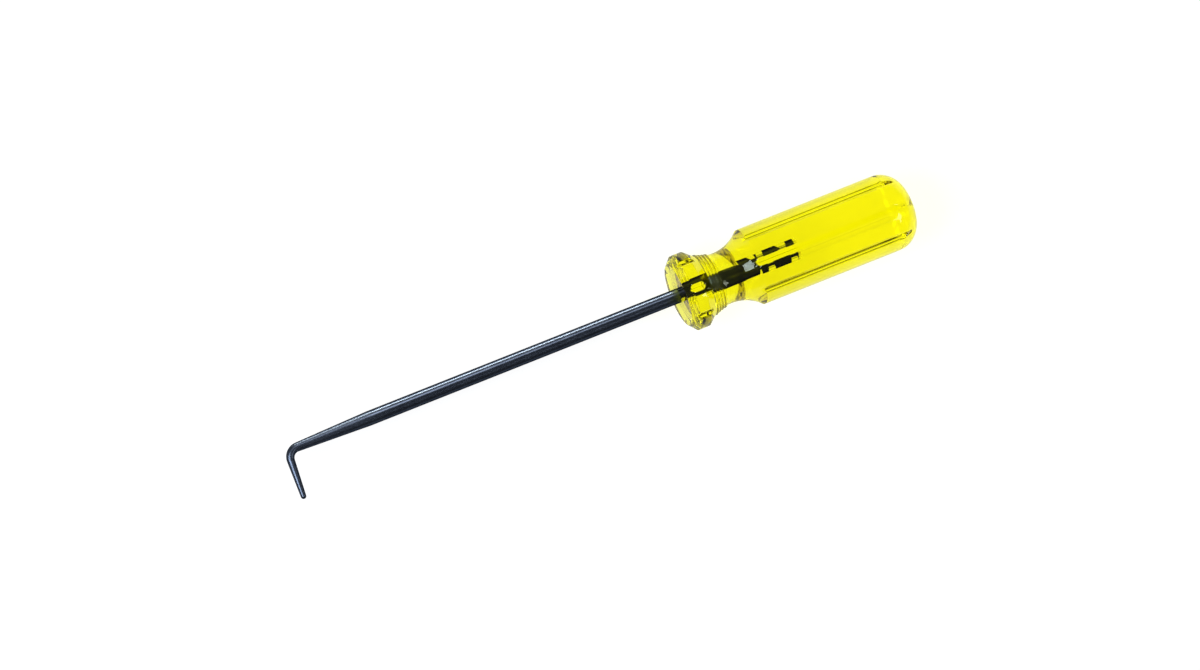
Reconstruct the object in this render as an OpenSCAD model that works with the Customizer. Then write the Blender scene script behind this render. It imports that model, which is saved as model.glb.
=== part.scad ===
// O-ring pick: a dark steel rod with a tapered, right-angle hooked end,
// pressed into a clear yellow handle turned from fluted round bar.
// It lies on its side: +X runs from the hook to the handle's end, the hook
// points to -Y, and +Z is up. The origin is under the middle of the whole tool.
// Axial places on the handle are measured from the front face of its collar.

/* [Handle] */
// diameter of the bar that the handle is turned from, one inch
bar_d = 25.4; // [24:0.1:28]
// length of the handle from the collar's front face to the crown of its end
handle_len = 81.6; // [76:0.1:95]
// radial size of the chamfer on the collar's front edge
front_cut = 2.5; // [1.5:0.1:3.4]
// length of that chamfer along the handle
front_len = 2.3; // [1.5:0.1:3.4]
// place where the collar's full diameter ends and its back slope starts
collar_len = 5.7; // [5:0.1:6.6]
// rounding between the side of the handle and its end
end_round = 8.5; // [6:0.1:10]
// radius of the shallow crown on the end
crown_r = 28.7; // [25:0.1:40]

/* [Waist] */
// smallest diameter of the waist
waist_d = 17; // [16:0.1:18]
// place of the smallest diameter
waist_at = 15.3; // [14.8:0.1:16]
// radius of the hollow curve that forms the waist
cove_r = 14.3; // [13.5:0.1:16]
// place where the collar's back slope meets the hollow curve
slope_end = 8.8; // [8.2:0.1:9.2]
// number of fine turned rings on the front half of the waist
ring_n = 4; // [1:1:4]
// radius of one ring's round section
ring_r = 0.48; // [0.3:0.02:0.5]
// distance from one ring to the next
ring_pitch = 1.12; // [1.06:0.02:1.3]

/* [Flutes] */
// number of flutes, a multiple of four so that one faces straight down
flute_n = 8; // [4:4:12]
// width of a flute at the surface, before its edges are rounded
flute_w = 2.3; // [1.8:0.05:2.6]
// angle between the two flat sides of a flute
flute_angle = 90; // [80:2:110]
// rounding of the edges of a flute
flute_round = 1.15; // [0.5:0.05:1.3]

/* [Rod] */
// diameter of the straight rod, three sixteenths of an inch
rod_d = 4.76; // [4:0.02:6.4]
// length of the rod inside the handle
tang_len = 40.5; // [30:0.5:50]
// chamfer on the rod's inner end
tang_chamfer = 0.4; // [0.2:0.1:0.8]
// clearance all round the rod in its hole
tang_clear = 0.01; // [0.01:0.01:0.05]
// space left between the rod's inner end and the drill point of the hole
tang_end_gap = 0.3; // [0.1:0.1:1]
// included angle of the drill point
drill_angle = 118; // [90:2:140]
// straight length of the rod in front of the collar
straight_len = 108.2; // [80:0.2:150]

/* [Tang notches] */
// number of pairs of notches that lock the tang in the handle
notch_pairs = 2; // [1:1:2]
// distance from one pair to the next
notch_pitch = 8; // [7.2:0.1:10]
// depth of a notch
notch_depth = 0.78; // [0.3:0.02:1]
// length of the first notch of a pair, on the side away from the hook
notch_len = 3.5; // [2.5:0.1:4]
// length of the slanted lead-in of that notch
notch_lead = 1.2; // [0.4:0.1:1.4]
// length of the second notch of a pair, on the hook's side
notch_back_len = 2.4; // [1.5:0.1:3]
// length of the steep sides of the notches
notch_slant = 0.2; // [0.1:0.05:0.4]
// steel left between the last notch and the chamfer
notch_land = 0.2; // [0.1:0.1:1]

/* [Hook] */
// length over which the rod tapers ahead of the bend
taper_len = 25.0; // [15:0.2:40]
// diameter of the rod through the bend
bend_d = 2.8; // [2.2:0.1:3.2]
// radius of the bend along the middle of the rod
bend_r = 3.5; // [2.2:0.1:6]
// angle that the bend turns through
bend_turn = 87.5; // [75:0.5:90]
// reach of the point from the middle line of the rod
hook_reach = 16.1; // [13:0.1:25]
// diameter of the rounded point
point_d = 1.8; // [1:0.1:1.9]

/* [Hidden] */
$fn = 64;
bar_r = bar_d / 2;
waist_r = waist_d / 2;
flute_half = flute_angle / 2;
flute_floor = sqrt(bar_r * bar_r - flute_w * flute_w / 4) - flute_w / 2 / tan(flute_half);
// small angle at which the rounding crosses the flat side and the bar
round_slip = 5;
round_in = flute_round * cos(round_slip);
round_mid = sqrt(bar_r * bar_r + flute_round * flute_round - 2 * bar_r * round_in);
flute_rise = flute_floor * cos(flute_half);
flute_side = flute_floor * sin(flute_half) - round_in;
flat_len = sqrt(round_mid * round_mid - flute_side * flute_side) - flute_rise;
flat_top = [flat_len * sin(flute_half), flute_floor + flat_len * cos(flute_half)];
round_at = flat_top + round_in * [cos(flute_half), -sin(flute_half)];
rest_r = round_at[1] + flute_round;
crown_at = handle_len - crown_r;
end_off = bar_r - end_round;
end_at = crown_at + sqrt(pow(crown_r - end_round, 2) - end_off * end_off);
crown_share = crown_r / (crown_r - end_round);
crown_edge = [end_off * crown_share, crown_at + (end_at - crown_at) * crown_share];
hole_r = rod_d / 2 + tang_clear;
hole_len = tang_len + tang_end_gap;
hole_point = hole_len + hole_r / tan(drill_angle / 2);
notch_floor = rod_d / 2 - notch_depth;
notch_end = tang_len - tang_chamfer - notch_land;
bend_at = straight_len + taper_len;
bend_drop = bend_r * (1 - cos(bend_turn));
point_r = point_d / 2;
leg_len = (hook_reach - point_r - bend_drop) / sin(bend_turn);
// how far the leg starts inside the bend, and the slight step where it leaves it
leg_in = 0.1;
leg_step = 0.02;
bend_reach = (bend_r + bend_d / 2) * sin(bend_turn);
point_reach = bend_r * sin(bend_turn) + leg_len * cos(bend_turn) + point_r;
front_reach = bend_at + max(bend_reach, point_reach);
face_x = (front_reach - handle_len) / 2;
axis_y = (hook_reach - rest_r) / 2;
axis_z = rest_r;
eps = 1;

// radius of the waist's hollow curve at a distance a from the collar's face
function cove_at(a) = waist_r + cove_r - sqrt(cove_r * cove_r - pow(waist_at - a, 2));

// carries a shape from the collar's face to its place in the tool
module placed() {
    translate([face_x, axis_y, axis_z])
        children();
}

// turns a radius and length profile about the tool's long axis
module turned() {
    rotate([90, 0, 90])
        rotate_extrude()
            children();
}

// half section of the plain bar with its chamfered front edge and crowned end
module bar_half() {
    polygon([
        [0, 0],
        [bar_r - front_cut, 0],
        [bar_r, front_len],
        [bar_r, end_at],
        [0, end_at]
    ]);
    intersection() {
        translate([end_off, end_at])
            circle(end_round);
        translate([end_off, end_at])
            square([end_round, end_round]);
    }
    intersection() {
        translate([0, crown_at])
            circle(crown_r);
        polygon([
            [0, end_at],
            [end_off, end_at],
            crown_edge * 1.5 - [end_off, end_at] * 0.5,
            [0, handle_len + eps]
        ]);
    }
}

// what the waist takes out of the bar's half section
module waist_cut() {
    polygon([
        [bar_r, collar_len],
        [cove_at(slope_end), slope_end],
        [bar_r + eps, slope_end],
        [bar_r + eps, collar_len]
    ]);
    intersection() {
        translate([waist_r + cove_r, waist_at])
            circle(cove_r);
        translate([0, slope_end])
            square([bar_r + eps, handle_len]);
    }
}

// half section of the turned handle before it is fluted and drilled
module handle_half() {
    difference() {
        bar_half();
        waist_cut();
    }
    for (i = [0 : ring_n - 1]) {
        at = slope_end + ring_r + 0.1 + i * ring_pitch;
        translate([cove_at(at), at])
            circle(ring_r);
    }
}

// blind drilled hole for the tang, as a half section
module hole_half() {
    polygon([[0, -eps], [hole_r, -eps], [hole_r, hole_len], [0, hole_point]]);
}

// cross section of one flute: a V whose two edges are rounded over
module flute_section() {
    mouth = round_at * (bar_r + eps) / round_mid;
    side = [flat_top, round_at, mouth];
    difference() {
        polygon(concat([[0, flute_floor]], side, [for (i = [2 : -1 : 0]) [-side[i][0], side[i][1]]]));
        for (way = [-1, 1])
            translate([way * round_at[0], round_at[1]])
                circle(flute_round);
    }
}

// straight flutes along the whole bar
module flutes() {
    for (i = [0 : flute_n - 1])
        rotate([i * 360 / flute_n, 0, 0])
            translate([-eps, 0, 0])
                rotate([90, 0, 90])
                    linear_extrude(handle_len + 2 * eps)
                        flute_section();
}

// clear yellow handle: collar, ringed waist, fluted grip and crowned end
module handle() {
    color([0.93, 0.88, 0.05, 0.65])
        placed()
            difference() {
                turned()
                    difference() {
                        handle_half();
                        hole_half();
                    }
                flutes();
            }
}

// half section of the straight rod, from the taper to the chamfered tang
module rod_half() {
    polygon([
        [0, -bend_at],
        [bend_d / 2, -bend_at],
        [rod_d / 2, -straight_len],
        [rod_d / 2, tang_len - tang_chamfer],
        [rod_d / 2 - tang_chamfer, tang_len],
        [0, tang_len]
    ]);
}

// one notch from a place to another along the tang, on the side away from the hook
module notch(from, to, lead) {
    past = eps / notch_depth;
    translate([0, 0, -rod_d])
        linear_extrude(2 * rod_d)
            polygon([
                [from + lead, notch_floor],
                [to - notch_slant, notch_floor],
                [to + notch_slant * past, rod_d / 2 + eps],
                [from - lead * past, rod_d / 2 + eps]
            ]);
}

// pairs of notches near the inner end of the tang
module notches() {
    for (i = [0 : notch_pairs - 1]) {
        end = notch_end - i * notch_pitch;
        middle = end - notch_back_len;
        notch(middle - notch_len, middle, notch_lead);
        rotate([180, 0, 0])
            notch(middle, end, notch_slant);
    }
}

// bend from the end of the taper down into the leg
module bend() {
    translate([-bend_at, -bend_r, 0])
        rotate([0, 0, 90])
            rotate_extrude(angle = bend_turn)
                translate([bend_r, 0])
                    circle(d = bend_d);
}

// tapered leg of the hook with its rounded point
module leg() {
    translate([-bend_at, -bend_r, 0])
        rotate([0, 0, bend_turn])
            translate([0, bend_r, 0])
                rotate([0, -90, 0]) {
                    translate([0, 0, -leg_in])
                        cylinder(d1 = bend_d - 2 * leg_step, d2 = point_d, h = leg_len + leg_in);
                    translate([0, 0, leg_len])
                        sphere(point_r);
                }
}

// dark steel rod in one piece: notched tang, straight shank, taper, bend and point
module pick_shank() {
    color([0.16, 0.18, 0.23])
        placed()
            union() {
                difference() {
                    turned()
                        rod_half();
                    notches();
                }
                bend();
                leg();
            }
}

handle();
pick_shank();
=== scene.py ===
# %% [markdown]
# # An O-ring pick with a clear yellow handle
#
# The tool is two pieces: a dark steel rod that tapers into a hook, and a clear plastic handle
# that was turned from fluted bar and pressed onto the rod. Such a tool could be drawn by eye,
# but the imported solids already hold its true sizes. So the script loads them first, as a frame
# that is measured and never moved, and builds everything around the same axis.

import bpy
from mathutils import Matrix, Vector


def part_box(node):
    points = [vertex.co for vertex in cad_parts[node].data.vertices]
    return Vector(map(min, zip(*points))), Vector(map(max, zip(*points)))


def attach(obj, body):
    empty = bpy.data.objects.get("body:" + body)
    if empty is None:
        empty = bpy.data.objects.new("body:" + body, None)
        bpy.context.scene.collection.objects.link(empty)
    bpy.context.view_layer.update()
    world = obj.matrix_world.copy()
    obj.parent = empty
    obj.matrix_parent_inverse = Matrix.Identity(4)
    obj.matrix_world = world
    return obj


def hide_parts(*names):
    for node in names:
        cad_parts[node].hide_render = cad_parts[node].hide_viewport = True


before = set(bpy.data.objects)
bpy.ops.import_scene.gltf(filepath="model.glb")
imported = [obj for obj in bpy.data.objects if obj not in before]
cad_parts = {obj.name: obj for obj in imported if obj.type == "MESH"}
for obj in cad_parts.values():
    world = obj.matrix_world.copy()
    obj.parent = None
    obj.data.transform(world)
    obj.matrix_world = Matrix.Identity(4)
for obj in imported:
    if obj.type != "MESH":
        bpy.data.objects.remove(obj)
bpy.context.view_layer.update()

import math

import bpy
import numpy as np
from mathutils import Matrix, Vector

scene = bpy.context.scene
print("solids in the frame:", sorted(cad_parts))

# %% [markdown]
# ## The tool's axis
#
# Handle, tang and shank are all round, so one line runs through the middle of each. The line
# could be typed in as numbers, but then it would stay behind if the solids changed. Here the
# handle's own box gives it, and the place of the collar's front face too. A point on the tool
# is then three numbers: millimetres behind the collar's face, millimetres out from the axis,
# and the angle round the axis from straight up.

# %% Axis and collar face
MM = 0.001
handle_low, handle_high = (np.array(corner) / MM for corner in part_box("handle"))
FACE_X = handle_low[0]
HANDLE_LENGTH = handle_high[0] - handle_low[0]
AXIS_Y = (handle_low[1] + handle_high[1]) / 2
AXIS_Z = (handle_low[2] + handle_high[2]) / 2


def tool_points(along, out, angle):
    """Metres in the frame from millimetres along and out from the axis and angles in radians."""
    along, out, angle = np.broadcast_arrays(along, out, angle)
    places = [FACE_X + along, AXIS_Y + out * np.sin(angle), AXIS_Z + out * np.cos(angle)]
    return MM * np.stack(places, axis=-1)


def axis_point(along):
    """The point of the axis that lies so many millimetres behind the collar's face."""
    return tool_points(along, 0.0, 0.0)


print(f"axis at y {AXIS_Y:.2f} mm, z {AXIS_Z:.2f} mm; collar face at x {FACE_X:.2f} mm")
print(f"handle length {HANDLE_LENGTH:.2f} mm")

# %% [markdown]
# ## Soft lines
#
# A polished plastic edge is never a knife edge. A Bevel modifier could round the finished mesh,
# but it wants edges that are sharp from end to end, and here they fade out along the flutes.
# So both outlines of the handle, the turned one and the fluted one, are rounded before any mesh
# exists: each is drawn sharp, given closely spaced points, and blurred along its own length.

# %% Close points and a blur along a line
FINE_STEP = 0.04
SAME_PLACE = 1e-9
BLUR_REACH = 3
EDGE_SOFT = 0.09
SAMPLE_CORNER = [(0.0, 0.0), (2.0, 0.0), (2.0, 2.0)]


def step_lengths(points):
    """The distance from each point to the next."""
    return np.hypot(*np.diff(points, axis=0).T)


def resampled(points, closed=False):
    """The same line with a point about every FINE_STEP millimetres."""
    points = np.asarray(points, float)
    if closed:
        points = np.vstack([points, points[:1]])
    points = points[np.append(True, step_lengths(points) > SAME_PLACE)]
    length = np.append(0, np.cumsum(step_lengths(points)))
    count = int(round(length[-1] / FINE_STEP))
    at = np.linspace(0, length[-1], count, endpoint=not closed)
    return np.column_stack([np.interp(at, length, points[:, k]) for k in (0, 1)])


def softened(points, radius, closed=False):
    """The line blurred along its length, with its two ends held unless it is closed."""
    reach = int(math.ceil(BLUR_REACH * radius / FINE_STEP))
    weight = np.exp(-0.5 * (np.arange(-reach, reach + 1) * FINE_STEP / radius) ** 2)
    weight /= weight.sum()
    if closed:
        padded = np.vstack([points[-reach:], points, points[:reach]])
    else:
        before = 2 * points[0] - points[reach:0:-1]
        after = 2 * points[-1] - points[-2:-reach - 2:-1]
        padded = np.vstack([before, points, after])
    return np.column_stack([np.convolve(padded[:, k], weight, "valid") for k in (0, 1)])


soft_corner = softened(resampled(SAMPLE_CORNER), EDGE_SOFT)
cut_back = np.hypot(*(soft_corner - SAMPLE_CORNER[1]).T).min()
print(f"a square corner is cut back by {cut_back:.3f} mm")

# %% [markdown]
# ## Fewer points
#
# The blur needs points closer than a tenth of a millimetre, and a mesh through all of them would
# be far too heavy. A Decimate modifier could thin the mesh afterwards, but it leaves uneven
# triangles, and clear plastic shows those as ripples. So only the points that the line needs
# are kept: close together where it turns, far apart where it is straight.

# %% Thin a line by its turning
PLAIN_STEP, SECTION_STEP = 0.45, 1.0
OUTLINE_TURN, SECTION_TURN = 11, 8


def thinned(points, longest, most_turn):
    """Which points to keep: longest is a step in mm for each point, most_turn is in degrees."""
    step = step_lengths(points)
    heading = np.unwrap(np.arctan2(*np.diff(points, axis=0).T[::-1]))
    kept, travel, turn = [0], 0.0, 0.0
    for i in range(1, len(points) - 1):
        travel += step[i - 1]
        turn += abs(heading[i] - heading[i - 1])
        if travel >= longest[i] or turn >= math.radians(most_turn):
            kept.append(i)
            travel, turn = 0.0, 0.0
    return kept + [len(points) - 1]


kept_of_corner = thinned(soft_corner, np.full(len(soft_corner), PLAIN_STEP), OUTLINE_TURN)
print(f"the sample corner keeps {len(kept_of_corner)} of {len(soft_corner)} points")

# %% [markdown]
# ## The crowned end of the handle
#
# The far end of the grip is a shallow crown with a generous round at its edge, made to sit in the
# palm. A freehand curve could follow that shape, but turned work is made of straight lines and
# true arcs, and an arc is written down by its real radius. The centre of the round follows from
# the two radii, so that round and crown meet without a corner.

# %% Crown and rounded edge
BAR_R = 12.7
END_ROUND, CROWN_R = 8.5, 28.7
ARC_POINTS = 90


def arc(centre, radius, start, stop, count=ARC_POINTS):
    """Points on an arc, with angles in degrees from the axis towards the outside."""
    turn = np.radians(np.linspace(start, stop, count))
    return np.column_stack([centre[0] + radius * np.cos(turn), centre[1] + radius * np.sin(turn)])


crown_at = HANDLE_LENGTH - CROWN_R
end_off = BAR_R - END_ROUND
end_at = crown_at + math.sqrt((CROWN_R - END_ROUND) ** 2 - end_off ** 2)
crown_half = math.degrees(math.atan2(end_off, end_at - crown_at))
crown = arc((crown_at, 0), CROWN_R, 0, crown_half)
rounded_edge = arc((end_at, end_off), END_ROUND, crown_half, 90)
print(f"crown: {crown_half:.1f} degrees each way; straight grip ends {end_at:.1f} mm behind the face")

# %% [markdown]
# ## The waist and its rings
#
# The waist is one hollow arc, and four fine beads were left standing on it near the collar. Each
# bead could be a thin torus laid round the handle, but a second piece inside the first would show
# its own walls through the clear plastic. So the rings are bumps in the arc itself: wherever a
# bead stands higher than the arc, the bead counts.

# %% Waist with four rings
SLOPE_END, WAIST_AT, WAIST_R, COVE_R = 8.8, 15.3, 8.5, 14.3
RING_COUNT, RING_R, RING_PITCH, RING_MARGIN = 4, 0.48, 1.12, 0.1
WAIST_POINTS = 900

cove_centre = (WAIST_AT, WAIST_R + COVE_R)
shoulder_turn = 360 - math.degrees(math.asin((cove_centre[1] - BAR_R) / COVE_R))
slope_turn = 180 + math.degrees(math.acos((WAIST_AT - SLOPE_END) / COVE_R))
waist = arc(cove_centre, COVE_R, shoulder_turn, slope_turn, WAIST_POINTS)
for ring in range(RING_COUNT):
    ring_at = SLOPE_END + RING_R + RING_MARGIN + ring * RING_PITCH
    ring_out = cove_centre[1] - math.sqrt(COVE_R ** 2 - (WAIST_AT - ring_at) ** 2)
    bead = np.sqrt(np.clip(RING_R ** 2 - (waist[:, 0] - ring_at) ** 2, 0, None))
    waist[:, 1] = np.where(bead > 0, np.maximum(waist[:, 1], ring_out + bead), waist[:, 1])
print(f"waist: smallest radius {waist[:, 1].min():.2f} mm, shoulder {waist[0, 0]:.1f} mm behind the face")

# %% [markdown]
# ## One line from the crown to the drill point
#
# A clear handle shows its drilled hole as plainly as its outside, so the hole belongs to the same
# line: from the crown over grip, waist and collar to the front face, and on down the hole to the
# point that the drill left. A Boolean could cut the hole afterwards, but it leaves ragged faces
# at the mouth. In a pressed fit the plastic wets the steel, with no air between the two. The wall
# of the hole is therefore drawn a hair inside the surface of the rod.

# %% Whole outline of the handle
FRONT_CUT, FRONT_LENGTH, COLLAR_LENGTH = 2.5, 2.3, 5.7
ROD_R, TANG_LENGTH = 2.38, 40.5
WETTING, HOLE_SPARE, DRILL_HALF_ANGLE = 0.02, 0.3, 59
WETTED_R = ROD_R - WETTING
HOLE_LENGTH = TANG_LENGTH + HOLE_SPARE
HOLE_POINT = HOLE_LENGTH + ROD_R / math.tan(math.radians(DRILL_HALF_ANGLE))

collar = [(COLLAR_LENGTH, BAR_R), (FRONT_LENGTH, BAR_R), (0, BAR_R - FRONT_CUT)]
hole = [(0, WETTED_R), (HOLE_LENGTH, WETTED_R), (HOLE_POINT, 0)]
outline = np.vstack([crown, rounded_edge, waist, collar, hole])
outline = softened(resampled(outline), EDGE_SOFT)
outline[[0, -1], 1] = 0
print(f"outline: {len(outline)} points; hole {HOLE_POINT:.1f} mm deep to its point")

# %% [markdown]
# ## Half a flute
#
# Cut across, the bar is round with eight narrow V flutes, one of them facing straight up. The
# edges of each V are rounded over, and its bottom is almost sharp. Eight prisms could be cut away
# with Booleans, but the rounding would then need a bevel on edges that curve. A cross section
# that is drawn as a line has it from the start. Half of one flute and half of the land beside it
# are enough, because all flutes are alike.

# %% Flute, rounding and land
FLUTE_COUNT, FLUTE_WIDTH, FLUTE_ROUND = 8, 2.3, 1.15
FLUTE_SLOPE = math.radians(45)
CURVE_POINTS = 40
pitch = 2 * math.pi / FLUTE_COUNT

v_floor = math.sqrt(BAR_R ** 2 - FLUTE_WIDTH ** 2 / 4) - FLUTE_WIDTH / 2 / math.tan(FLUTE_SLOPE)
round_side = v_floor * math.sin(FLUTE_SLOPE) - FLUTE_ROUND
flat = math.sqrt((BAR_R - FLUTE_ROUND) ** 2 - round_side ** 2) - v_floor * math.cos(FLUTE_SLOPE)
round_x = flat * math.sin(FLUTE_SLOPE) + FLUTE_ROUND * math.cos(FLUTE_SLOPE)
round_y = v_floor + flat * math.cos(FLUTE_SLOPE) - FLUTE_ROUND * math.sin(FLUTE_SLOPE)
land_start = math.atan2(round_x, round_y)

over = np.linspace(FLUTE_SLOPE - math.pi / 2, land_start, CURVE_POINTS)
land = np.linspace(land_start, pitch / 2, CURVE_POINTS)[1:]
half_flute = np.vstack([
    [(0, v_floor)],
    np.column_stack([round_x + FLUTE_ROUND * np.sin(over), round_y + FLUTE_ROUND * np.cos(over)]),
    np.column_stack([BAR_R * np.sin(land), BAR_R * np.cos(land)]),
])
print(f"flute: floor {BAR_R - v_floor:.2f} mm deep, land from {math.degrees(land_start):.1f} degrees")

# %% [markdown]
# ## The cross section of the bar
#
# The half flute is mirrored and repeated round the axis. An Array modifier could repeat a mesh in
# the same way, but the handle needs plain numbers: one radius for each angle. The closed line is
# softened, thinned over one pitch, and that one pitch is used eight times, so each flute gets
# exactly the same points.

# %% Radius for each angle round the bar
FLUTE_SOFT = 0.05


def all_round(angles):
    """The angles of one pitch, repeated for every flute."""
    return np.concatenate([angles + k * pitch for k in range(FLUTE_COUNT)])


half_out = np.hypot(half_flute[:, 0], half_flute[:, 1])
half_angle = np.arctan2(half_flute[:, 0], half_flute[:, 1])
sharp_out = np.tile(np.concatenate([half_out, half_out[-2:0:-1]]), FLUTE_COUNT)
sharp_angle = all_round(np.concatenate([half_angle, pitch - half_angle[-2:0:-1]]))
bar = np.column_stack([sharp_out * np.sin(sharp_angle), sharp_out * np.cos(sharp_angle)])
bar = softened(resampled(bar, closed=True), FLUTE_SOFT, closed=True)
bar_angle = np.arctan2(bar[:, 0], bar[:, 1])
bar = bar[np.argsort(bar_angle)]
bar_angle = np.sort(bar_angle)

one_pitch = bar[(bar_angle >= -pitch / 2) & (bar_angle < pitch / 2)]
picked = one_pitch[thinned(one_pitch, np.full(len(one_pitch), SECTION_STEP), SECTION_TURN)[:-1]]
section_angle = all_round(np.arctan2(picked[:, 0], picked[:, 1]))
section_out = np.tile(np.hypot(picked[:, 0], picked[:, 1]), FLUTE_COUNT)
print(f"cross section: {len(section_angle)} points, flute floor at {section_out.min():.2f} mm")

# %% [markdown]
# ## Air beside the rod
#
# The hole grips the rod almost everywhere. In two places the rod is hidden by a bright patch, most
# likely because the plastic has come away from the steel there: a thin layer of air, seen through
# the handle, turns into a mirror. A pale patch painted on the rod would only look like that from
# one side. A shallow pocket in the wall of the hole mirrors light from every side, as air would.

# %% Two pockets in the wall of the hole
POCKET_DEPTH, POCKET_RAMP, POCKET_FADE = 0.09, 0.3, 0.15
# each pocket: start and end behind the collar's face in mm, middle angle and half width in degrees
POCKETS = [
    (9.0, 21.6, 78, 50),
    (-1.0, 8.0, -80, 50),
]


def ramp(value, width):
    """0 below zero, 1 above width, and a smooth step between."""
    t = np.clip(value / width, 0, 1)
    return t * t * (3 - 2 * t)


def pocket_depth(along, angle):
    """How far the wall of the hole stands off the rod, in mm."""
    depth = np.zeros(np.broadcast(along, angle).shape)
    for start, stop, middle, half_width in POCKETS:
        away = np.abs(np.remainder(angle - math.radians(middle) + math.pi, 2 * math.pi) - math.pi)
        within = ramp(along - start, POCKET_RAMP) * ramp(stop - along, POCKET_RAMP)
        depth = np.maximum(depth, within * ramp(math.radians(half_width) - away, POCKET_FADE))
    return POCKET_DEPTH * depth


print(f"pockets: {len(POCKETS)}, each {POCKET_DEPTH} mm deep")

# %% [markdown]
# ## Stations along the handle
#
# The mesh is a stack of rings, and each ring stands at a station on the outline. Evenly spaced
# stations would be simple, but they would waste faces on the plain grip and be too coarse at the
# collar and the shoulder. There the flutes run out, and their edges cross the stations at a
# slant. So the longest step allowed depends on where the outline is.

# %% Stations
RUN_OUT_STEP, HOLE_STEP, GRIP_STEP = 0.13, 0.45, 2.5
GRIP_MARGIN, RUN_OUT_MARGIN = 0.01, 0.15


def past_mouth(points):
    """True for the points of an outline that lie inside the hole."""
    mouth = np.argmin(np.hypot(points[:, 0], points[:, 1] - WETTED_R))
    return np.arange(len(points)) > mouth


in_hole = past_mouth(outline)
on_grip = (outline[:, 1] > BAR_R - GRIP_MARGIN) & ~in_hole
runs_out = (outline[:, 1] > section_out.min() - RUN_OUT_MARGIN) & ~on_grip & ~in_hole
steps = [HOLE_STEP, GRIP_STEP, RUN_OUT_STEP]
step_limit = np.select([in_hole, on_grip, runs_out], steps, PLAIN_STEP)
stations = outline[thinned(outline, step_limit, OUTLINE_TURN)]
print(f"stations: {len(stations)}, of which {past_mouth(stations).sum()} are in the hole")

# %% [markdown]
# ## Where the flutes run out
#
# The handle is everything that lies inside both the turned outline and the fluted bar. A Boolean
# intersection would give that form with hard and ragged edges. Here both are known as a radius at
# each place, so the smaller radius counts, and a slightly rounded rule for the smaller of two
# numbers softens the edge where a flute runs out on the collar, the shoulder or the end.

# %% Rings of the handle
EDGE_BLEND, POCKET_MARGIN = 0.08, 0.1


def smaller(a, b, blend):
    """The smaller of two radii, with the corner between them rounded over blend mm."""
    near = np.clip(blend - np.abs(a - b), 0, None) / blend
    return np.minimum(a, b) - near * near * blend / 4


along = stations[1:-1, :1]
angle = section_angle[None, :]
has_wall = past_mouth(stations)[1:-1, None] & (along < HOLE_LENGTH - POCKET_MARGIN)
radius = smaller(stations[1:-1, 1:], section_out[None, :], EDGE_BLEND)
handle_rings = tool_points(along, radius + has_wall * pocket_depth(along, angle), angle)
print(f"rings of the handle: {handle_rings.shape[0]} with {handle_rings.shape[1]} points each")

# %% [markdown]
# ## The handle
#
# A Screw modifier could turn the outline into a mesh, but only into a perfectly round one.
# from_pydata takes any points and faces: four-sided faces join each ring to the next, and a fan
# of triangles closes each end. The result is one closed skin, which clear plastic needs, because
# light bends once on the way in and once on the way out. The same helper makes the rod later.

# %% A closed skin through rings
def skin(name, rings, start, stop):
    """A closed mesh through rings of points, shut by one point at each end."""
    count, around = rings.shape[:2]
    points = np.vstack([rings.reshape(-1, 3), [start, stop]])
    index = np.arange(count * around).reshape(count, around)
    following = np.roll(index, -1, axis=1)
    corners = [index[:-1], following[:-1], following[1:], index[1:]]
    sides = np.stack(corners, axis=-1).reshape(-1, 4)
    first_cap = [(count * around, b, a) for a, b in zip(index[0], following[0])]
    last_cap = [(count * around + 1, a, b) for a, b in zip(index[-1], following[-1])]
    mesh = bpy.data.meshes.new(name)
    mesh.from_pydata(points.tolist(), [], sides.tolist() + first_cap + last_cap)
    mesh.polygons.foreach_set("use_smooth", [True] * len(mesh.polygons))
    mesh.update()
    piece = bpy.data.objects.new(name, mesh)
    scene.collection.objects.link(piece)
    return piece


clear_handle = skin("clear_handle", handle_rings, axis_point(HANDLE_LENGTH), axis_point(HOLE_POINT))
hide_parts("handle")
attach(clear_handle, "root")
print(f"handle: {len(clear_handle.data.polygons)} faces")

# %% [markdown]
# ## The middle line of the rod
#
# The rod is one piece of steel: a tang inside the handle, a straight shank, a ground taper, a
# tight bend and a leg that ends in a rounded point. A curve object with a bevel could follow that
# path, but its points would have to be set by hand. The path is only two straight lines and an
# arc, so a formula gives the place and the heading after any length of travel from the tang's
# inner end.

# %% Middle line
STRAIGHT_LENGTH, TAPER_LENGTH = 108.2, 25.0
BEND_R, BEND_TURN = 3.5, 87.5
POINT_R = 0.9
HOOK_REACH = AXIS_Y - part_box("pick_shank")[0][1] / MM

bend_turn = math.radians(BEND_TURN)
leg_length = (HOOK_REACH - POINT_R - BEND_R * (1 - math.cos(bend_turn))) / math.sin(bend_turn)
taper_start = TANG_LENGTH + STRAIGHT_LENGTH
bend_start = taper_start + TAPER_LENGTH
bend_end = bend_start + BEND_R * bend_turn
leg_end = bend_end + leg_length


def rod_middle(travel):
    """Place behind the collar's face, place out to the hook's side, and heading, for each travel."""
    turned = np.clip((travel - bend_start) / BEND_R, 0, bend_turn)
    straight = np.minimum(travel, bend_start)
    leg = np.clip(travel - bend_end, 0, None)
    along = TANG_LENGTH - straight - BEND_R * np.sin(turned) - leg * np.cos(turned)
    side = BEND_R * (1 - np.cos(turned)) + leg * np.sin(turned)
    return along, side, turned


print(f"rod: {leg_end:.1f} mm along its middle, hook reach {HOOK_REACH:.2f}, leg {leg_length:.2f} mm")

# %% [markdown]
# ## The widths of the rod
#
# The shank keeps one width, the taper narrows evenly, and the narrowing goes on through the bend
# and down the leg, as on a pick that was ground before it was bent. Separate cylinders and cones
# would leave a seam at every change. One list of widths along the path keeps it a single piece,
# with stations close together at the notches and round the bend, and a ball for the point.

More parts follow.
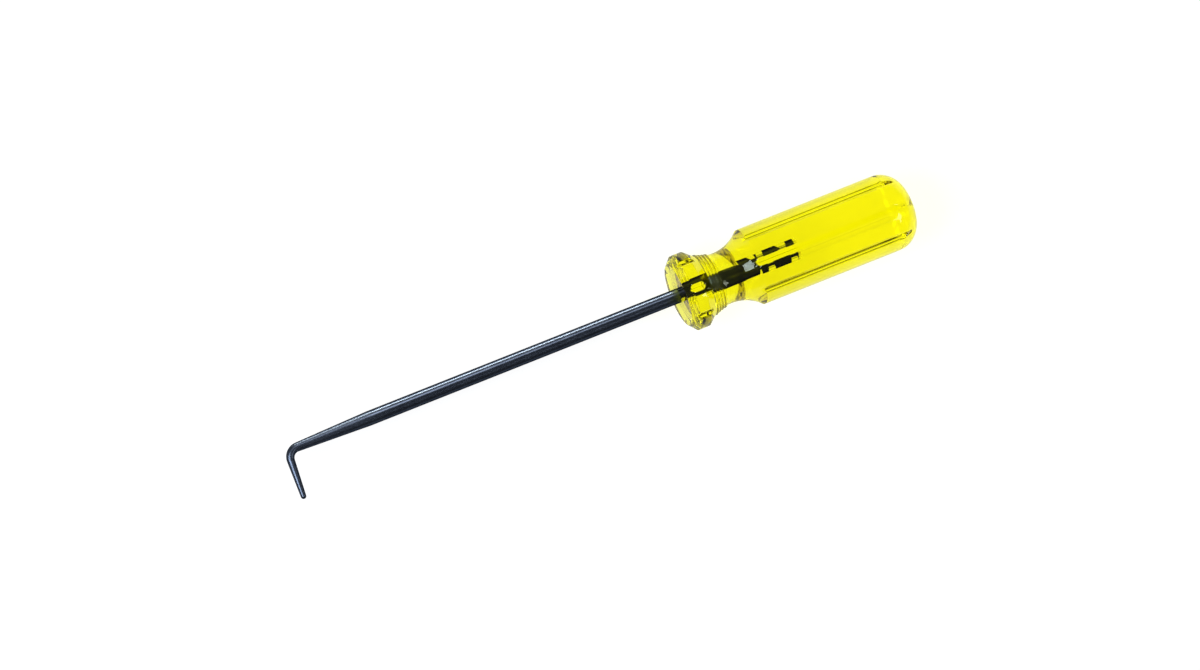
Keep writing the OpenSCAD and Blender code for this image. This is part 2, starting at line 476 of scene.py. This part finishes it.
# %% Stations and widths
TANG_CHAMFER, NOTCHED_LENGTH = 0.4, 15.0
BEND_START_R, BEND_END_R = 1.5, 1.29
BALL_STEPS = 8
# each stretch of the rod: where it ends, in mm of travel, and how many steps it is cut into
STRETCHES = [
    (TANG_CHAMFER, 2),
    (NOTCHED_LENGTH, 146),
    (taper_start, 59),
    (bend_start, 25),
    (bend_end, 21),
    (leg_end, 15),
]

ball = np.linspace(0, math.pi / 2, BALL_STEPS + 1)[1:-1]
travel = np.zeros(1)
for stop, step_count in STRETCHES:
    travel = np.append(travel, np.linspace(travel[-1], stop, step_count + 1)[1:])
travel = np.append(travel, leg_end + POINT_R * np.sin(ball))

width_at = [0, TANG_CHAMFER, taper_start, bend_start, bend_end, leg_end]
width_r = [ROD_R - TANG_CHAMFER, ROD_R, ROD_R, BEND_START_R, BEND_END_R, POINT_R]
rod_radius = np.interp(travel, width_at, width_r)
rod_radius[-len(ball):] = POINT_R * np.cos(ball)
print(f"stations of the rod: {len(travel)}; widest {2 * rod_radius.max():.2f} mm")

# %% [markdown]
# ## Notches that lock the tang
#
# Near its inner end the tang has two pairs of notches, one of each pair away from the hook and
# one on the hook's side. They are read from gaps in the dark tang, and are of the kind that keeps
# a rod from being pulled out. Boxes could be cut away with Booleans, but a notch is only a limit
# on how far the round section may reach to one side. So the limits are drawn along the tang, and
# the rings are clipped to them.

# %% Limits to both sides of the rod
NOTCH_PAIRS, NOTCH_START, NOTCH_PITCH = 2, 26.0, 8.0
NOTCH_DEPTH, NOTCH_LENGTH, NOTCH_LEAD = 0.78, 3.5, 1.2
NOTCH_BACK_LENGTH, NOTCH_SLANT = 2.4, 0.2
NOTCH_FLOOR = ROD_R - NOTCH_DEPTH
NOTCH_SHAPE = [ROD_R, NOTCH_FLOOR, NOTCH_FLOOR, ROD_R]

middle_along, middle_side, turned = rod_middle(travel)


def notch_limit(start, lead, stop):
    """How far the rod may reach to one side, at each station, with one notch from start to stop."""
    return np.interp(middle_along, [start, start + lead, stop - NOTCH_SLANT, stop], NOTCH_SHAPE)


far_limit = np.full(len(travel), ROD_R)
hook_limit = np.full(len(travel), ROD_R)
for pair in range(NOTCH_PAIRS):
    start = NOTCH_START + pair * NOTCH_PITCH
    middle = start + NOTCH_LENGTH
    far_limit = np.minimum(far_limit, notch_limit(start, NOTCH_LEAD, middle))
    back_notch = notch_limit(middle, NOTCH_SLANT, middle + NOTCH_BACK_LENGTH)
    hook_limit = np.minimum(hook_limit, back_notch)
print(f"notches: {2 * NOTCH_PAIRS}, floor {far_limit.min():.2f} mm from the axis")

# %% [markdown]
# ## The rod
#
# Each ring is a circle that stands square to the middle line, clipped where there is a notch. An
# extrusion with Blender's own tools would do the same by hand. Here the heading from the middle
# line turns the circles, so bend and leg come out without a twist, and the skin helper joins the
# rings and closes the point.

# %% Rod mesh
ROD_SIDES = 64

round_angle = np.linspace(0, 2 * math.pi, ROD_SIDES, endpoint=False)
across = rod_radius[:, None] * np.sin(round_angle)
across = np.clip(across, -hook_limit[:, None], far_limit[:, None])
lift = rod_radius[:, None] * np.cos(round_angle)
rod_rings = MM * np.stack([
    FACE_X + middle_along[:, None] - across * np.sin(turned)[:, None],
    AXIS_Y - middle_side[:, None] + across * np.cos(turned)[:, None],
    AXIS_Z + lift,
], axis=-1)
tip_along, tip_side, tip_heading = rod_middle(leg_end + POINT_R)
tip = MM * np.array([FACE_X + tip_along, AXIS_Y - tip_side, AXIS_Z])
steel_rod = skin("steel_rod", rod_rings, axis_point(TANG_LENGTH), tip)
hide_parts("pick_shank")
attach(steel_rod, "root")
print(f"rod: {len(steel_rod.data.polygons)} faces, bent by {math.degrees(tip_heading):.1f} degrees")

# %% [markdown]
# ## A finish made of nodes
#
# Both finishes are built from shader nodes. Painted image textures would do as well, but node
# patterns need no picture and no unwrapping, and they stay fine at any distance. Two helpers keep
# the next cells short: one makes an empty material, the other makes a node with its values set.

# %% Material helpers
def new_material(name):
    """An empty node material: the material, its node tree and its output node."""
    material = bpy.data.materials.new(name)
    material.use_nodes = True
    tree = material.node_tree
    tree.nodes.clear()
    return material, tree, tree.nodes.new("ShaderNodeOutputMaterial")


def node(tree, kind, sockets=None, **properties):
    """A new node with its properties set, and its input sockets set by name or number."""
    made = tree.nodes.new(kind)
    for name, value in properties.items():
        setattr(made, name, value)
    for socket, value in (sockets or {}).items():
        made.inputs[socket].default_value = value
    return made


plastic, plastic_tree, plastic_output = new_material("clear_yellow_plastic")
steel, steel_tree, steel_output = new_material("dark_oxide_steel")
print("materials:", plastic.name, "and", steel.name)

# %% [markdown]
# ## The polished face of the plastic
#
# The handle is clear and polished, and handling has left it a little uneven. A Glass shader would
# bend the light as well, but the Principled shader does it with full transmission and can be
# exported. It adds hardly any colour of its own, and a noise pattern varies the gloss a little.

# %% Plastic surface
PLASTIC_IOR = 1.476
SURFACE_COLOUR = (1.0, 0.99, 0.9, 1.0)
REFLECTION_TINT = (0.92, 1.0, 0.85, 1.0)
HAZE_LEAST, HAZE_MOST = 0.01, 0.05

link = plastic_tree.links.new
polish = node(plastic_tree, "ShaderNodeBsdfPrincipled", {
    "Base Color": SURFACE_COLOUR,
    "Transmission Weight": 1.0,
    "IOR": PLASTIC_IOR,
    "Specular Tint": REFLECTION_TINT,
})
place = node(plastic_tree, "ShaderNodeTexCoord")
handling = node(plastic_tree, "ShaderNodeTexNoise", {"Scale": 160.0, "Detail": 4.0, "Roughness": 0.6})
haze = node(plastic_tree, "ShaderNodeMapRange", {"To Min": HAZE_LEAST, "To Max": HAZE_MOST})
link(place.outputs["Object"], handling.inputs["Vector"])
link(handling.outputs["Fac"], haze.inputs["Value"])
link(haze.outputs["Result"], polish.inputs["Roughness"])
print(f"plastic surface: refractive index {PLASTIC_IOR}")

# %% [markdown]
# ## Colour in the depth of the plastic
#
# The plastic is tinted right through, so it is pale where it is thin and deep yellow where it is
# thick. A yellow surface would be one tone all over. Absorption inside the piece takes out nearly
# all the blue and only a little red and green, by the length of plastic that the light crosses.
# Lamp light on its way to the floor is let straight through, because a solid shadow would make
# the handle look like painted metal.

# %% Plastic depth and shadow
ABSORB_DENSITY = 360.0
ABSORB_COLOUR = (0.981, 0.9745, 0.0, 1.0)
SHADOW_PASS = (0.95, 0.95, 0.95, 1.0)
SAMPLE_DEPTH = 10 * MM

tint = node(plastic_tree, "ShaderNodeVolumeAbsorption", {"Color": ABSORB_COLOUR, "Density": ABSORB_DENSITY})
passing = node(plastic_tree, "ShaderNodeBsdfTransparent", {"Color": SHADOW_PASS})
rays = node(plastic_tree, "ShaderNodeLightPath")
choice = node(plastic_tree, "ShaderNodeMixShader")
link(rays.outputs["Is Shadow Ray"], choice.inputs["Fac"])
link(polish.outputs["BSDF"], choice.inputs[1])
link(passing.outputs["BSDF"], choice.inputs[2])
link(choice.outputs["Shader"], plastic_output.inputs["Surface"])
link(tint.outputs["Volume"], plastic_output.inputs["Volume"])
clear_handle.data.materials.append(plastic)
left = [math.exp(-ABSORB_DENSITY * (1 - share) * SAMPLE_DEPTH) for share in ABSORB_COLOUR[:3]]
print("plastic: red, green and blue left after 10 mm", [round(share, 3) for share in left])

# %% [markdown]
# ## The colour of the oxide
#
# The rod is hardened steel with a blue-black oxide skin that is a little blotchy. One flat dark
# grey would do from far away, but close by it looks like paint. A noise pattern mixes two dark
# blue-greys. Inside the handle the plastic wets the steel, which then sends back far less light,
# so the tang behind the collar's face is nearly black.

# %% Oxide colour
# each tone: the level of the noise pattern where it stands, and its colour
OXIDE_TONES = [
    (0.3, (0.040, 0.050, 0.072, 1.0)),
    (0.75, (0.064, 0.079, 0.110, 1.0)),
]
WETTED_STEEL = (0.012, 0.014, 0.016, 1.0)
# the colour sockets of a Mix node share their names with others, so they go by number
MIX_FACTOR, MIX_A, MIX_B, MIX_RESULT = 0, 6, 7, 2

link = steel_tree.links.new
place = node(steel_tree, "ShaderNodeTexCoord")
blotch = node(steel_tree, "ShaderNodeTexNoise", {"Scale": 260.0, "Detail": 6.0, "Roughness": 0.65})
tone = node(steel_tree, "ShaderNodeValToRGB")
for stop, (level, colour) in zip(tone.color_ramp.elements, OXIDE_TONES):
    stop.position = level
    stop.color = colour
split = node(steel_tree, "ShaderNodeSeparateXYZ")
inside = node(steel_tree, "ShaderNodeMath", {1: FACE_X * MM}, operation="GREATER_THAN")
oxide = node(steel_tree, "ShaderNodeMix", {MIX_B: WETTED_STEEL}, data_type="RGBA")
link(place.outputs["Object"], blotch.inputs["Vector"])
link(blotch.outputs["Fac"], tone.inputs["Fac"])
link(place.outputs["Object"], split.inputs["Vector"])
link(split.outputs["X"], inside.inputs[0])
link(inside.outputs["Value"], oxide.inputs[MIX_FACTOR])
link(tone.outputs["Color"], oxide.inputs[MIX_A])
print(f"oxide: {len(OXIDE_TONES)} tones on the shank, a darker one past x = {FACE_X:.1f} mm")

# %% [markdown]
# ## Grinding marks
#
# Grinding leaves fine marks that run round the rod. They could be cut into the mesh, but they are
# far finer than its faces. A bump that follows a stretched noise pattern is enough: the pattern
# changes quickly along the rod and slowly round it, so it breaks up the long bright line that a
# round bar reflects.

# %% Marks round the rod
MARK_STRETCH = (6000.0, 300.0, 300.0)
MARK_DEPTH, MARK_STRENGTH = 0.02 * MM, 0.30

stretch = node(steel_tree, "ShaderNodeMapping", {"Scale": MARK_STRETCH})
grind = node(steel_tree, "ShaderNodeTexNoise", {"Scale": 1.0, "Detail": 2.0})
marks = node(steel_tree, "ShaderNodeBump", {"Strength": MARK_STRENGTH, "Distance": MARK_DEPTH})
link(place.outputs["Object"], stretch.inputs["Vector"])
link(stretch.outputs["Vector"], grind.inputs["Vector"])
link(grind.outputs["Fac"], marks.inputs["Height"])
print(f"marks: pattern {MARK_STRETCH[0] / MARK_STRETCH[1]:.0f} times finer along the rod than round it")

# %% [markdown]
# ## Two kinds of gloss
#
# The shank shows a sharp gloss and a satin one at once, and the taper and the hook are satin only.
# A single roughness would make either a narrow line or a wide glow. So two metal shaders with the
# same colour and marks are mixed, and the share of satin rises where the taper begins. A dark
# tint for grazing light keeps the two edges of the rod dark.

# %% Sharp and satin steel
GRAZING_TINT = (0.15, 0.16, 0.18, 1.0)
SHARP_LEAST, SHARP_MOST = 0.15, 0.22
SATIN_ROUGHNESS, SATIN_ON_SHANK, SATIN_ON_TAPER = 0.36, 0.4, 1.0
CHANGE_BEFORE, CHANGE_AFTER = 2, 4
TAPER_X = FACE_X - STRAIGHT_LENGTH

sharp = node(steel_tree, "ShaderNodeBsdfPrincipled", {"Metallic": 1.0, "Specular Tint": GRAZING_TINT})
satin = node(steel_tree, "ShaderNodeBsdfPrincipled", {"Metallic": 1.0, "Specular Tint": GRAZING_TINT})
satin.inputs["Roughness"].default_value = SATIN_ROUGHNESS
gloss = node(steel_tree, "ShaderNodeMapRange", {"To Min": SHARP_LEAST, "To Max": SHARP_MOST})
satin_share = node(steel_tree, "ShaderNodeMapRange", {
    "From Min": (TAPER_X + CHANGE_BEFORE) * MM,
    "From Max": (TAPER_X - CHANGE_AFTER) * MM,
    "To Min": SATIN_ON_SHANK,
    "To Max": SATIN_ON_TAPER,
})
finish = node(steel_tree, "ShaderNodeMixShader")
for metal in (sharp, satin):
    link(oxide.outputs[MIX_RESULT], metal.inputs["Base Color"])
    link(marks.outputs["Normal"], metal.inputs["Normal"])
link(blotch.outputs["Fac"], gloss.inputs["Value"])
link(gloss.outputs["Result"], sharp.inputs["Roughness"])
link(split.outputs["X"], satin_share.inputs["Value"])
link(satin_share.outputs["Result"], finish.inputs["Fac"])
link(sharp.outputs["BSDF"], finish.inputs[1])
link(satin.outputs["BSDF"], finish.inputs[2])
link(finish.outputs["Shader"], steel_output.inputs["Surface"])
steel_rod.data.materials.append(steel)
print(f"steel: satin share {SATIN_ON_SHANK} on the shank, {SATIN_ON_TAPER} past x = {TAPER_X:.1f} mm")

# %% [markdown]
# ## A table to lie on
#
# The tool lies on its handle on a plain table. A large sheet that curves up behind would hide the
# horizon, but a camera that looks down never sees one. A single flat face is enough, wide enough
# to fill the view from the sides too, and it is left out of the tool's body.

# %% Table
TABLE_HALF = 6.0
CORNERS = [(-1, -1), (1, -1), (1, 1), (-1, 1)]

floor_mesh = bpy.data.meshes.new("floor")
floor_mesh.from_pydata([(x * TABLE_HALF, y * TABLE_HALF, 0) for x, y in CORNERS], [], [(0, 1, 2, 3)])
floor = bpy.data.objects.new("floor", floor_mesh)
scene.collection.objects.link(floor)
print(f"table: {2 * TABLE_HALF:.0f} m wide")

# %% [markdown]
# ## A table that looks white
#
# A pure white surface under strong lamps would look white, but such lamps would be too strong for
# the tool. So the table is a plain grey that takes shadows, and it glows on top of that for the
# rays that look at it: most for the camera, and nearly as much for what is seen through the
# plastic. Metal sees about half. A ray that is bent by the plastic counts as a glossy and as a
# transmission ray, so those two shares add up.

# %% White table
TABLE_GREY = (0.28, 0.28, 0.28, 1.0)
TABLE_GLOW = {"Is Camera Ray": 0.86, "Is Glossy Ray": 0.45, "Is Transmission Ray": 0.40}

table, table_tree, table_output = new_material("white_table")
link = table_tree.links.new
matt = node(table_tree, "ShaderNodeBsdfDiffuse", {"Color": TABLE_GREY})
glow = node(table_tree, "ShaderNodeEmission", {"Strength": 0.0})
both = node(table_tree, "ShaderNodeAddShader")
rays = node(table_tree, "ShaderNodeLightPath")
sum_so_far = None
for ray_kind, share in TABLE_GLOW.items():
    term = node(table_tree, "ShaderNodeMath", {1: share, 2: 0.0}, operation="MULTIPLY_ADD")
    link(rays.outputs[ray_kind], term.inputs[0])
    if sum_so_far:
        link(sum_so_far.outputs["Value"], term.inputs[2])
    sum_so_far = term
link(sum_so_far.outputs["Value"], glow.inputs["Strength"])
link(matt.outputs["BSDF"], both.inputs[0])
link(glow.outputs["Emission"], both.inputs[1])
link(both.outputs["Shader"], table_output.inputs["Surface"])
floor_mesh.materials.append(table)
print("table: glow by kind of ray", TABLE_GLOW)

# %% [markdown]
# ## The room around the table
#
# Clear plastic shows the room as much as the table. An even white sky would fill the flutes with
# light and lose their dark lines. A real studio has white boards and dark corners, and the world
# stands in for that: it is dim and even for most rays. For rays that come through the plastic it
# is dark to the tool's two sides and white beyond its two ends.

# %% World
ROOM_LEVEL, BOARD_LEVEL = 0.15, 1.0
BOARD_START, BOARD_FULL = 0.1, 0.45

world = bpy.data.worlds.new("studio")
scene.world = world
world.use_nodes = True
room = world.node_tree
link = room.links.new
sky = room.nodes["Background"]
sky.inputs["Color"].default_value = (1.0, 1.0, 1.0, 1.0)
heading = node(room, "ShaderNodeTexCoord")
parts = node(room, "ShaderNodeSeparateXYZ")
lengthwise = node(room, "ShaderNodeMath", operation="ABSOLUTE")
boards = node(room, "ShaderNodeMapRange", {
    "From Min": BOARD_START,
    "From Max": BOARD_FULL,
    "To Min": 0.0,
    "To Max": BOARD_LEVEL,
})
rays = node(room, "ShaderNodeLightPath")
strength = node(room, "ShaderNodeMix", {"A": ROOM_LEVEL}, data_type="FLOAT")
link(heading.outputs["Generated"], parts.inputs["Vector"])
link(parts.outputs["X"], lengthwise.inputs[0])
link(lengthwise.outputs["Value"], boards.inputs["Value"])
link(rays.outputs["Is Transmission Ray"], strength.inputs["Factor"])
link(boards.outputs["Result"], strength.inputs["B"])
link(strength.outputs["Result"], sky.inputs["Strength"])
print(f"world: level {ROOM_LEVEL}; through the plastic from 0 at the sides to {BOARD_LEVEL} at the ends")

# %% [markdown]
# ## Soft lamps
#
# A round bar shows a lamp as a long line, and each flat side of the plastic shows it as a patch.
# One big lamp would light both, but the lines that suit the steel would streak the handle. So a
# cool key lamp and a smaller one past the handle's end light everything. Four more light the rod
# only: light linking gives them a collection that holds nothing but the rod. A lamp's energy is
# worked out from how bright it looks, so its size can change without changing the highlight.

# %% Lamps
OVER_HOOK = (-0.88, 0.09, 0.95)
MIDDLE, TAPER, HOOK = ((x, 0.0, AXIS_Z * MM) for x in (0.0, -0.09, -0.11))
WHITE, COOL, WARM = (1.0, 1.0, 1.0), (0.90, 1.0, 1.08), (1.0, 0.98, 0.84)
# each lamp: place and target in metres, width and height in metres, radiance, colour, rod only
LAMPS = {
    "key_lamp": (OVER_HOOK, MIDDLE, (0.60, 0.60), 10.0, COOL, False),
    "low_side_lamp": ((0.17, 0.80, 0.118), MIDDLE, (0.50, 0.11), 44.0, WARM, True),
    "high_side_lamp": ((0.245, 0.54, 0.88), MIDDLE, (0.50, 0.18), 6.5, WHITE, True),
    "taper_lamp": ((-0.031, 0.209, 0.289), TAPER, (0.15, 0.15), 3.0, WHITE, True),
    "hook_lamp": (OVER_HOOK, HOOK, (0.60, 0.60), 8.0, WHITE, True),
    "handle_end_lamp": ((0.60, -0.48, 0.90), MIDDLE, (0.35, 0.35), 5.0, WHITE, False),
}

rod_only = bpy.data.collections.new("rod_only")
rod_only.objects.link(steel_rod)
for name, (place, target, size, radiance, colour, for_rod) in LAMPS.items():
    light = bpy.data.lights.new(name, "AREA")
    light.shape = "RECTANGLE"
    light.size, light.size_y = size
    light.energy = radiance * math.pi * size[0] * size[1]
    light.color = colour
    lamp = bpy.data.objects.new(name, light)
    lamp.location = place
    lamp.rotation_euler = (Vector(target) - Vector(place)).to_track_quat("-Z", "Y").to_euler()
    scene.collection.objects.link(lamp)
    if for_rod:
        lamp.light_linking.receiver_collection = rod_only
    print(f"{name}: {light.energy:.2f} W", "on the rod only" if for_rod else "on everything")

# %% [markdown]
# ## The camera
#
# The tool is seen almost straight from above through a long lens. Moving a camera about until the
# picture fits is slow, so the view is worked out. It leans towards the hook, and the front face
# of the collar just shows. It is rolled so that the handle points to the upper right. Then one
# point on the axis is pinned to its place in a picture of 1200 by 670 pixels.

# %% Camera
PICTURE = (1200, 670)
MM_PER_PIXEL = 0.3168
TILT, TURN, ROLL = (math.radians(degrees) for degrees in (13.5, 1.2, 21.66))
PIN_PIXEL = (600.15, 326.6)
PIN_ALONG = -27.4
DISTANCE, CLIP_END = 6.0, 50.0

back = Vector((-math.sin(TILT), -math.cos(TILT) * math.sin(TURN), math.cos(TILT) * math.cos(TURN)))
run = (Vector((1, 0, 0)) - back * back.x).normalized()
side = back.cross(run)
right = run * math.cos(ROLL) - side * math.sin(ROLL)
up = run * math.sin(ROLL) + side * math.cos(ROLL)
shift_right = (PICTURE[0] / 2 - PIN_PIXEL[0]) * MM_PER_PIXEL * MM
shift_up = (PIN_PIXEL[1] - PICTURE[1] / 2) * MM_PER_PIXEL * MM
centre = Vector(axis_point(PIN_ALONG).tolist()) + right * shift_right + up * shift_up

camera_data = bpy.data.cameras.new("camera")
camera_data.sensor_fit = "HORIZONTAL"
camera_data.lens = camera_data.sensor_width * DISTANCE / (PICTURE[0] * MM_PER_PIXEL * MM)
camera_data.clip_end = CLIP_END
camera = bpy.data.objects.new("camera", camera_data)
facing = Matrix((right, up, back)).transposed().to_4x4()
camera.matrix_world = Matrix.Translation(centre + back * DISTANCE) @ facing
scene.collection.objects.link(camera)
scene.camera = camera
scene.view_settings.view_transform = "Standard"
print(f"camera: {camera_data.lens:.0f} mm lens, {PICTURE[0] * MM_PER_PIXEL:.1f} mm across the picture")
